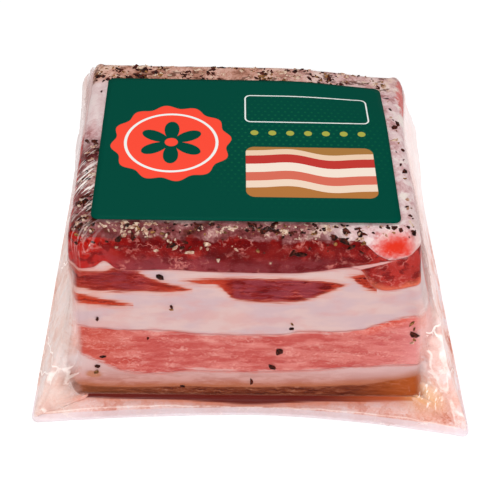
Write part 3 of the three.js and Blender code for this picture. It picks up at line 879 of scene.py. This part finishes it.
def layer(name, below, above, material):
    """One layer of the block, from the seam below it to the seam above it."""
    start, end = wall_height(below), wall_height(above)
    rows = 2 + int(np.ceil((end - start).max() / FINE))
    t = np.linspace(0, 1, rows)[:, None]
    if below == "bottom":
        t = 1 - np.cos(t * math.pi / 2)
    if above == "top":
        t = np.sin(t * math.pi / 2)
    z = lerp(start, end, t)
    wall_xy = block_outline(z)
    wall = place(wall_xy, z)
    wall = wall + outward(wall) * bumps(wall)[..., None]

    def face(seam, edge_xy, sizes):
        offset = edge_xy - BLOCK_MIDDLE
        xy = BLOCK_MIDDLE + offset * sizes[:, None, None]
        heights = SEAMS[seam](xy[..., 0], xy[..., 1])
        return place(xy, heights)

    hidden = np.array([0, 0.25, 0.5, 0.75, 0.9])
    top_sizes = hidden
    if above == "top":
        top_sizes = np.concatenate([[0, 0.2, 0.4, 0.55, 0.66], np.linspace(0.74, 0.985, 22)])
    lower = face(below, block_outline(start), hidden)
    upper = face(above, block_outline(end), top_sizes)[::-1]
    if above == "top":
        upper[..., 2] += bumps(upper)
    rings = np.concatenate([lower, wall, upper])
    x, y, z = np.moveaxis(rings, -1, 0)
    height = z + sag(x, y, z)
    around = np.concatenate([np.zeros(lower.shape[:2]), distance_round(wall_xy), np.zeros(upper.shape[:2])])
    fields = {"low": height - SEAMS[below](x, y), "high": SEAMS[above](x, y) - height}
    if name == "upper_fat":
        fields["streak"], fields["warm"] = streak_fields(around, height)
    if name == "lower_fat":
        fields["rind"] = height - through(RIND_TOP, x)
    last_smooth = len(rings) if above == "top" else len(lower) + len(wall) - 1
    return skin(name, rings, material, fields, (len(lower), last_smooth))


# --------------------------------------------------------------------------- the crust

# Each kind has a number of bits on the top, a number of small ones on the cut face just
# below the crust's edge, and its larger ones on the cut face, as (x, height, radius).
PEPPER_SPOTS = [
    (-24.9, 43.6, 1.1), (-22, 33, 0.8), (-41.9, 28.7, 0.7), (-28.4, 22.2, 0.7), (-41, 15.5, 0.9),
    (-42.7, 12.2, 0.8), (-19.1, 5.9, 0.8), (10.6, 26, 1.0), (7.6, 18.1, 1.4), (5.8, 12.4, 1.5),
    (0.2, 7.7, 1.0), (44.3, 24.2, 1.4), (11.5, 52.2, 1.5), (9.4, 52.5, 1.1), (-31.5, 56.5, 1.4),
    (-35.2, 56, 1.0), (-21.6, 54.6, 1.1), (20.1, 56.8, 1.5), (22.7, 56, 1.3), (24.5, 54.8, 1.1),
]
GARLIC_SPOTS = [
    (-33.8, 56.8, 1.1), (-20.6, 54, 0.8), (-17, 52.4, 1.0), (-9.6, 49.8, 0.8), (-12.5, 55, 0.9),
    (-5, 53.5, 0.6), (4, 49, 0.5), (26, 56.6, 0.8), (43.9, 21.6, 0.7),
]
HERB_SPOTS = [
    (44.4, 22.6, 0.7), (43.2, 28.2, 0.9), (44, 26.4, 0.6), (10.7, 27.4, 0.6), (-43, 10.4, 0.8),
    (-22, 32, 0.5),
]
GRAIN_KINDS = {
    "pepper": {"top": 330, "edge": 26, "spots": PEPPER_SPOTS, "size": (0.4, 1.45),
               "dark": (24, 4, 0), "light": (84, 28, 16)},
    "garlic": {"top": 190, "edge": 14, "spots": GARLIC_SPOTS, "size": (0.4, 1.25),
               "dark": (170, 122, 100), "light": (220, 194, 172)},
    "herb": {"top": 150, "edge": 14, "spots": HERB_SPOTS, "size": (0.3, 1.0),
             "dark": (88, 54, 28), "light": (158, 108, 62)},
}
CRUST_EDGE = {"x": (-46, 28), "height": (52.5, 57.4), "size": (0.25, 0.8)}
CRUST_SPREAD = {"x": (-46.5, 43), "y": (-40, 34.3)}
CRUST_RELIEF = 0.2  # how far bits stand out of the top
CRUST_ROUNDING = 0.16  # the share of the top edge's fall on which bits still lie
LABEL_CLEARANCE = 0.3


def chip_shapes():
    shape = bmesh.new()
    bmesh.ops.create_icosphere(shape, subdivisions=1, radius=1)
    points = np.array([v.co[:] for v in shape.verts])
    faces = np.array([[v.index for v in f.verts] for f in shape.faces])
    shape.free()
    return points, faces


CHIP_POINTS, CHIP_FACES = chip_shapes()


def chip(random, centre, radius, flat_axis):
    """One crushed bit: a dented, flattened ball turned at random about its flat axis."""
    dent = 1 + 0.35 * random.uniform(-1, 1, (len(CHIP_POINTS), 1))
    points = CHIP_POINTS * dent * radius * random.uniform((0.8, 0.45, 0.4), (1.4, 0.9, 0.55))
    turn = random.uniform(0, 2 * math.pi)
    turned = points.copy()
    turned[:, 0] = points[:, 0] * math.cos(turn) - points[:, 1] * math.sin(turn)
    turned[:, 1] = points[:, 0] * math.sin(turn) + points[:, 1] * math.cos(turn)
    if flat_axis == "y":
        turned = turned[:, [0, 2, 1]] * (1, -1, 1)
    return turned + centre


def crust_density(kind, x, y):
    """How thick one kind lies at a place on the top: thickest at the back and front left."""
    back = smoothstep(y, 24, 28)
    front = smoothstep(-y, 33, 35)
    left = smoothstep(-x, 41, 43) * smoothstep(-y, -2, 6)
    right = smoothstep(x, 39, 40) * 0.16
    patchy = np.clip(0.45 + 1.3 * float(noise(np.array([x, y, 0.0]), 4, 7)), 0, 1)
    if kind == "herb":
        return 0.9 * back + 0.3 * front + 0.3 * left + right
    if kind == "garlic":
        front_left = front * smoothstep(-x, -36, -24) * (1.2 - patchy)
        return 0.6 * back * (1 - patchy) + 0.85 * front_left + 0.3 * left + right
    return np.clip(back * patchy + 0.7 * front * (0.4 + patchy) + 0.5 * left * patchy + right + 0.02, 0, 1)


def under_label(x, y):
    across, deep = (LABEL[side] / 2 + LABEL_CLEARANCE for side in ("width", "depth"))
    return abs(x - LABEL["x"]) < across and abs(y - LABEL["y"]) < deep


def top_chips(kind, settings, seed):
    """Bits scattered over the top, round the label."""
    random = np.random.default_rng(seed)
    chips = []
    while len(chips) < settings["top"]:
        x, y = random.uniform(*CRUST_SPREAD["x"]), random.uniform(*CRUST_SPREAD["y"])
        z = float(top_height(x, y))
        on_top = z > BLOCK_TOP - CRUST_ROUNDING * TOP_EDGE - float(sag(x, y, BLOCK_TOP))
        if under_label(x, y) or not on_top or random.uniform() > crust_density(kind, x, y):
            continue
        low, high = settings["size"]
        radius = low + (high - low) * random.uniform() ** 2
        points = chip(random, (x, y, z - 0.3 * radius), radius, "z")
        points[:, 2] = np.minimum(points[:, 2], top_height(points[:, 0], points[:, 1]) + CRUST_RELIEF)
        chips.append(points)
    return chips


def front_chips(settings, seed):
    """Bits at their spots on the cut face, and small ones scattered near its top edge."""
    random = np.random.default_rng(seed)
    spots = list(settings["spots"])
    low, high = CRUST_EDGE["height"]
    for _ in range(settings["edge"]):
        height = high - (high - low) * random.uniform() ** 2
        spots.append((random.uniform(*CRUST_EDGE["x"]), height, random.uniform(*CRUST_EDGE["size"])))
    return [chip(random, (x, front_face(z), z), radius, "y") for x, z, radius in spots]


def bits_piece(kind, seed):
    settings = GRAIN_KINDS[kind]
    chips = top_chips(kind, settings, 20 + seed) + front_chips(settings, 5 + seed)
    faces = np.concatenate([CHIP_FACES + i * len(CHIP_POINTS) for i in range(len(chips))])
    material = grain_material(kind, settings["dark"], settings["light"])
    return make_object(kind + "_bits", np.concatenate(chips), faces.tolist(), material)


# --------------------------------------------------------------------------- the label


def label_piece():
    sides = Stations(front=60, right=46, back=60, left=46, corner=8)
    half_width, half_depth = LABEL["width"] / 2, LABEL["depth"] / 2
    outline = sides.on_rectangle(-half_width, half_width, -half_depth, half_depth, LABEL["corner"])
    sizes = np.array([0, 0.15, 0.3, 0.45, 0.6, 0.72, 0.82, 0.9, 0.96, 1])

    def sheet(lift):
        xy = outline * sizes[:, None, None] + (LABEL["x"], LABEL["y"])
        z = top_height(xy[..., 0], xy[..., 1]) + lift
        return np.concatenate([xy, z[..., None]], -1)

    low = LABEL["lift"]
    rings = np.concatenate([sheet(low), sheet(low + LABEL["thickness"])[::-1]])
    return skin("label_print", rings, label_material())


# ---------------------------------------------------------------------------- the film


def rim_outline(inset):
    front = RIM_HALF_DEPTH - RIM_BOW["front_right"]
    back = RIM_HALF_DEPTH - RIM_BOW["back"]
    half_width, corner = RIM_HALF_WIDTH - inset, np.maximum(RIM_CORNER - inset, 0.2)
    xy = ROUND.on_rectangle(-half_width, half_width, inset - front, back - inset, corner)
    x, y = xy[..., 0], xy[..., 1]
    across = np.minimum(np.abs(x) / (RIM_HALF_WIDTH - RIM_CORNER), 1) ** RIM_BOW_POWER
    front_bow = np.where(x < 0, RIM_BOW["front_left"], RIM_BOW["front_right"]) * across / front
    back_bow = RIM_BOW["back"] * across / back
    y = y * (1 + np.where(y < 0, front_bow, back_bow))
    taper = RIM_TAPER * (y + RIM_HALF_DEPTH) / (2 * RIM_HALF_DEPTH)
    return np.stack([x * (1 - taper), y], -1)


RIM_GAP = 9  # between the rim and the food, which counts as far


def film_rings():
    """The film's rings, from under the block, round the rim and up to the top.

    With them go the gap between film and food, and whether a place is on the sealed rim.
    """
    sideways, deep = np.cos(ROUND.angle), np.sin(ROUND.angle)
    middle_y = block_outline(np.full(ROUND.count, BLOCK_TOP / 2))[:, 1]
    corner = np.maximum(4 * (sideways * deep) ** 2, sideways**2 * smoothstep(middle_y, *CORNER_REACH))
    at_front = middle_y < 0
    climb = np.where(deep < 0, CLIMB["front"], CLIMB["back"]) * deep**2 + CLIMB["side"] * sideways**2
    climb = lerp(climb, np.where(at_front, CLIMB["front_corner"], CLIMB["back_corner"]), corner)
    at_corner = np.where(sideways < 0, CONCAVITY["back_left"], CONCAVITY["back_right"])
    concavity = lerp(CONCAVITY["walls"], at_corner, np.where(at_front, 0, corner))
    rim_band = lerp(RIM_BAND["sides"], RIM_BAND["front"], np.maximum(-deep, 0) ** 2)

    def level(xy, height):
        return np.concatenate([xy, np.full(xy.shape[:1] + (1,), height)], -1)

    under = [level(rim_outline(0) * size, FILM_BOTTOM) for size in (0, 0.3, 0.6, 0.85, 0.97)]
    band = [level(rim_outline(rim_band * 0), FILM_BOTTOM)]
    band += [level(rim_outline(rim_band * share), RIM_HEIGHT) for share in (0.1, 0.3, 0.5, 0.7, 0.9)]

    rows = int(BLOCK_TOP / FINE)
    t = np.linspace(0, 1, rows)[:, None]
    rise = lerp(RIM_HEIGHT, BLOCK_TOP - TOP_EDGE, t**1.15)
    edge = BLOCK_TOP - TOP_EDGE + TOP_EDGE * np.sin(np.linspace(0, math.pi / 2, 12)[1:, None])
    z = np.concatenate([rise, edge]) + np.zeros(ROUND.count)
    lifted = np.clip((z - RIM_HEIGHT) / (climb - RIM_HEIGHT), 0, 1)
    share = (1 - lifted) ** concavity
    wall_xy = block_outline(np.maximum(z, BLOCK_BOTTOM + BOTTOM_EDGE), FILM_LIFT)
    web_xy = lerp(wall_xy, rim_outline(rim_band), share[..., None])
    wall = place(web_xy, z)
    wall[..., 2] += FILM_LIFT * smoothstep(z, BLOCK_TOP - TOP_EDGE, BLOCK_TOP)
    gap = np.linalg.norm(web_xy - wall_xy, axis=-1)

    sizes = np.concatenate([np.linspace(0.985, 0.74, 20), [0.66, 0.5, 0.3, 0.15, 0]])
    edge_xy = block_outline(np.full(ROUND.count, float(BLOCK_TOP)), FILM_LIFT)
    xy = BLOCK_MIDDLE + (edge_xy - BLOCK_MIDDLE) * sizes[:, None, None]
    top = place(xy, np.full(xy.shape[:2], float(BLOCK_TOP)))
    top[..., 2] += FILM_LIFT

    rings = np.concatenate([np.array(under), np.array(band), wall, top])
    flat = len(under) + len(band)
    every_gap = np.zeros(rings.shape[:2])
    every_gap[:flat] = RIM_GAP
    every_gap[flat : flat + len(wall)] = gap
    on_rim = np.zeros(rings.shape[:2], bool)
    on_rim[len(under) : flat] = True
    return rings, every_gap, on_rim


# Creases of the film at the right and left of the block, as (y, height), and along the
# seal's inner edge at the front, as (x, y).
CREASES = {
    "right": [
        [(-4, 33), (-9, 30), (-14.5, 26.5), (-25, 28.3), (-34, 30), (-37, 26.5), (-41, 25.5), (-43, 20.6),
         (-46, 13.6), (-48.5, 10), (-51, 8)],
        [(-41, 25.5), (-45, 24), (-48, 17)],
        [(-46, 13.6), (-41, 9), (-36, 2)],
        [(-51, 8), (-53.5, 4), (-54.5, 1.2)],
        [(24, 36), (20, 30), (14, 23.5), (9, 21), (2, 15)],
        [(-10, 44), (-16, 36), (-25, 28.3)],
    ],
    "left": [
        [(-38, 52), (-34, 44), (-20, 30), (-6, 15), (1, 5)],
        [(-23, 0.6), (-34, 8), (-41, 13.5), (-46, 13), (-48, 9)],
        [(-37.4, 0.6), (-43, 7), (-46.5, 11)],
        [(6, 40), (14, 26), (20, 12), (24, 2)],
        [(30, 50), (36, 34), (40, 16)],
    ],
    "front": [
        [(-58, -51.9), (-42, -49.8), (-25, -49.1), (0, -49.1), (14, -49.5), (25, -50.2), (42, -52.2),
         (57, -55.4)],
    ],
}


def near(place, middle, reach):
    """1 at a middle and falling to 0 over a reach along each axis."""
    away = (place - np.array(middle)) / np.array(reach)
    return np.exp(-np.sum(away**2, axis=-1))


def signed_distance(at, line):
    """The distance of 2-D points from a line through stops, less than 0 on its right."""
    best = np.full(at.shape[:-1], 99.0)
    signed = best.copy()
    for start, end in zip(np.array(line[:-1], float), np.array(line[1:], float)):
        step = end - start
        t = np.clip((at - start) @ step / (step @ step), 0, 1)
        away = at - start - t[..., None] * step
        far = np.linalg.norm(away, axis=-1)
        side = np.sign(step[0] * away[..., 1] - step[1] * away[..., 0])
        signed = np.where(far < best, side * far, signed)
        best = np.minimum(far, best)
    return signed


def fold_fields(rings, gap):
    """The signed distance to the nearest crease, and where that is near enough to show."""
    x, y, z = np.moveaxis(rings, -1, 0)
    nearest = np.full(x.shape, 9.0)
    along = {"right": (y, z), "left": (y, z), "front": (x, y)}
    loose = gap > 0.1
    on_side = {"right": (x > 0) & loose, "left": (x < 0) & loose, "front": (y < -44) & (z > 0.2)}
    wander = np.stack([0.9 * noise(rings, 3.2, 15), 0.9 * noise(rings, 3.2, 16)], -1)
    for side, lines in CREASES.items():
        at = np.stack(along[side], -1) + wander * (0.2 if side == "front" else 1)
        for line in lines:
            signed = np.where(on_side[side], signed_distance(at, line), 9)
            nearest = np.where(np.abs(signed) < np.abs(nearest), signed, nearest)
    return nearest, (1 - smoothstep(np.abs(nearest), 0.8, 1.4)) * np.where(on_side["front"], 0.6, 1)


def film_piece():
    """The film, with the fields that its material needs.

    Haze is how milky it is, seal its sealed rim, foot the strip under the rind, where a shadow
    and the rind's reflected colour are painted, stain and gold where the rind shows through its
    corners, cool its whiter parts, among them a painted highlight at the low front right, and
    glints the painted highlights of its crumples.
    """
    rings, gap, on_rim = film_rings()
    ripple = 0.08 * noise(rings, 7, 11) + 0.05 * noise(rings, 2.4, 12)
    loose = smoothstep(gap, 0.3, 2.5)
    height = rings[..., 2]
    free = np.where(height > RIM_HEIGHT + 0.4, 1, 0.15)
    fold, near_fold = fold_fields(rings, gap)
    raised = 0.35 * np.exp(-((fold / 0.7) ** 2))
    crumple = 0.5 * noise(rings, 5, 13) + 0.25 * np.abs(noise(rings, 3.2, 14))
    raised = raised + ripple + loose * crumple
    rings = rings + outward(rings) * (raised * free)[..., None]
    rings[..., 2] = np.maximum(rings[..., 2], 0.02)
    x, y = rings[..., 0], rings[..., 1]
    near_foot = smoothstep(-height, -5, -3)
    at_front, at_right = smoothstep(-y, 30, 36), smoothstep(x, 30, 45)
    reach = lerp(lerp(4.5, 1.7, at_right), 0.7, near_foot)
    haze = lerp(0.76, 0.9, at_right) * smoothstep(gap, 0.2, reach)
    # The strip under the rind, where the film's material paints a shadow and reflected colour; the haze is
    # raised there to cover the food.
    foot = smoothstep(-gap, -7, -1) * near_foot
    haze = np.maximum(haze, 1.15 * foot * smoothstep(-height, -3.4, -2.8))
    veil_right = smoothstep(x + 0.12 * height, 47.2, 49.4) * smoothstep(-height, -38, -30)
    veil_left = smoothstep(-x, 46.4, 48.2) * smoothstep(-height, -48, -42) * smoothstep(height, 5, 12)
    veils = 0.5 * np.maximum(veil_right, veil_left) * at_front
    # The low front corners, where the film is hazier and whiter; at the right one the whiteness is a painted
    # highlight.
    low_left = near(rings, (-50.5, -44.5, 13), (2.6, 4, 4.5))
    low_right = near(rings, (48.2, -44, 12), (1.6, 4, 1.8))
    low_corners = np.maximum(low_left, low_right)
    fields = {
        "haze": np.maximum(haze, np.maximum(veils, 0.6 * low_corners)),
        "seal": on_rim * smoothstep(-y, 40, 50),
        "foot": foot,
        "stain": near(rings, (-50.8, -47.4, 9.2), (1.6, 2.6, 3.6)),
        "gold": np.minimum(1, 1.3 * near(rings, (49.5, -48, 5), (5, 4.5, 4))),
        "cool": np.maximum(low_corners, near(rings, (-53, 36, 20), (10, 22, 30))),
        "glints": near(rings, (-45, -21, 57), (4.5, 16, 9)),
        "fold": fold,
        "near_fold": near_fold,
    }
    return skin("bag_film", rings, film_material(), fields)


# ----------------------------------------------------------------- stage, camera, lights

CAMERA = {"place": (-9.4, -256.8, 259.7), "pitch": 43.6, "yaw": 2.1, "roll": 2.2, "lens": 84.0}


def make_camera():
    pitch, yaw, roll = (math.radians(CAMERA[name]) for name in ("pitch", "yaw", "roll"))
    forward = Vector((math.sin(yaw) * math.cos(pitch), math.cos(yaw) * math.cos(pitch), -math.sin(pitch)))
    level = Vector((math.cos(yaw), -math.sin(yaw), 0))
    upright = level.cross(forward)
    right = level * math.cos(roll) + upright * math.sin(roll)
    up = upright * math.cos(roll) - level * math.sin(roll)
    data = bpy.data.cameras.new("camera")
    data.lens = CAMERA["lens"]
    data.clip_start = 0.01
    camera = bpy.data.objects.new("camera", data)
    turned = Matrix((right, up, -forward)).transposed().to_4x4()
    camera.matrix_world = Matrix.Translation(Vector(CAMERA["place"]) * MM) @ turned
    bpy.context.scene.collection.objects.link(camera)
    bpy.context.scene.camera = camera


def area_light(name, place, size, power, target=(0, 0, 25)):
    data = bpy.data.lights.new(name, "AREA")
    data.shape = "SQUARE"
    data.size = size * MM
    data.energy = power
    lamp = bpy.data.objects.new(name, data)
    lamp.location = Vector(place) * MM
    lamp.rotation_euler = (Vector(target) - Vector(place)).to_track_quat("-Z", "Y").to_euler()
    bpy.context.scene.collection.objects.link(lamp)


WHITE = (1, 1, 1, 1)
FLOOR_HALF_WIDTH = 1500


def make_stage():
    paint = Paint("pale floor")
    glow = {"Emission_Color": WHITE, "Emission_Strength": 0.78}
    pale = paint.shader("BsdfPrincipled", Base_Color=srgb(150, 150, 150), Roughness=0.9, **glow)
    half = FLOOR_HALF_WIDTH
    corners = [(-half, -half, 0), (half, -half, 0), (half, half, 0), (-half, half, 0)]
    floor = make_object("floor", corners, [(0, 1, 2, 3)], paint.finish(pale))

    world = bpy.data.worlds.new("studio")
    world.use_nodes = True
    background = world.node_tree.nodes["Background"]
    background.inputs["Color"].default_value = WHITE
    background.inputs["Strength"].default_value = 0.22
    bpy.context.scene.world = world
    bpy.context.scene.view_settings.view_transform = "Standard"
    area_light("key", (-260, -600, 560), 420, 3.4)
    area_light("fill", (380, -640, 330), 420, 1.3)
    area_light("side", (720, -200, 260), 300, 1.3)
    area_light("top", (-80, 250, 800), 420, 2.9)


# ------------------------------------------------------------------------- the assembly


def main():
    make_camera()
    make_stage()
    layers = [
        ("lower_fat", "bottom", "fat_lean", fat_lower_material(), "fat_lower", "fat"),
        ("pale_lean", "fat_lean", "lean_fat", lean_lower_material(), "lean_lower", "lean_pale"),
        ("upper_fat", "lean_fat", "fat_top_lean", fat_upper_material(), "fat_upper", "fat"),
        ("dark_lean", "fat_top_lean", "cap", lean_upper_material(), "lean_upper", "lean_dark"),
        ("peppered_cap", "cap", "top", cap_material(), "fat_cap", "crust"),
    ]
    for name, below, above, material, node, slot in layers:
        piece = layer(name, below, above, material)
        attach(piece, "root")
        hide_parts(node)
    for seed, kind in enumerate(GRAIN_KINDS):
        piece = bits_piece(kind, seed)
        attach(piece, "root")
    label = label_piece()
    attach(label, "root")
    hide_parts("label")
    film = film_piece()
    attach(film, "root")
    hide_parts("vacuum_bag")


main()
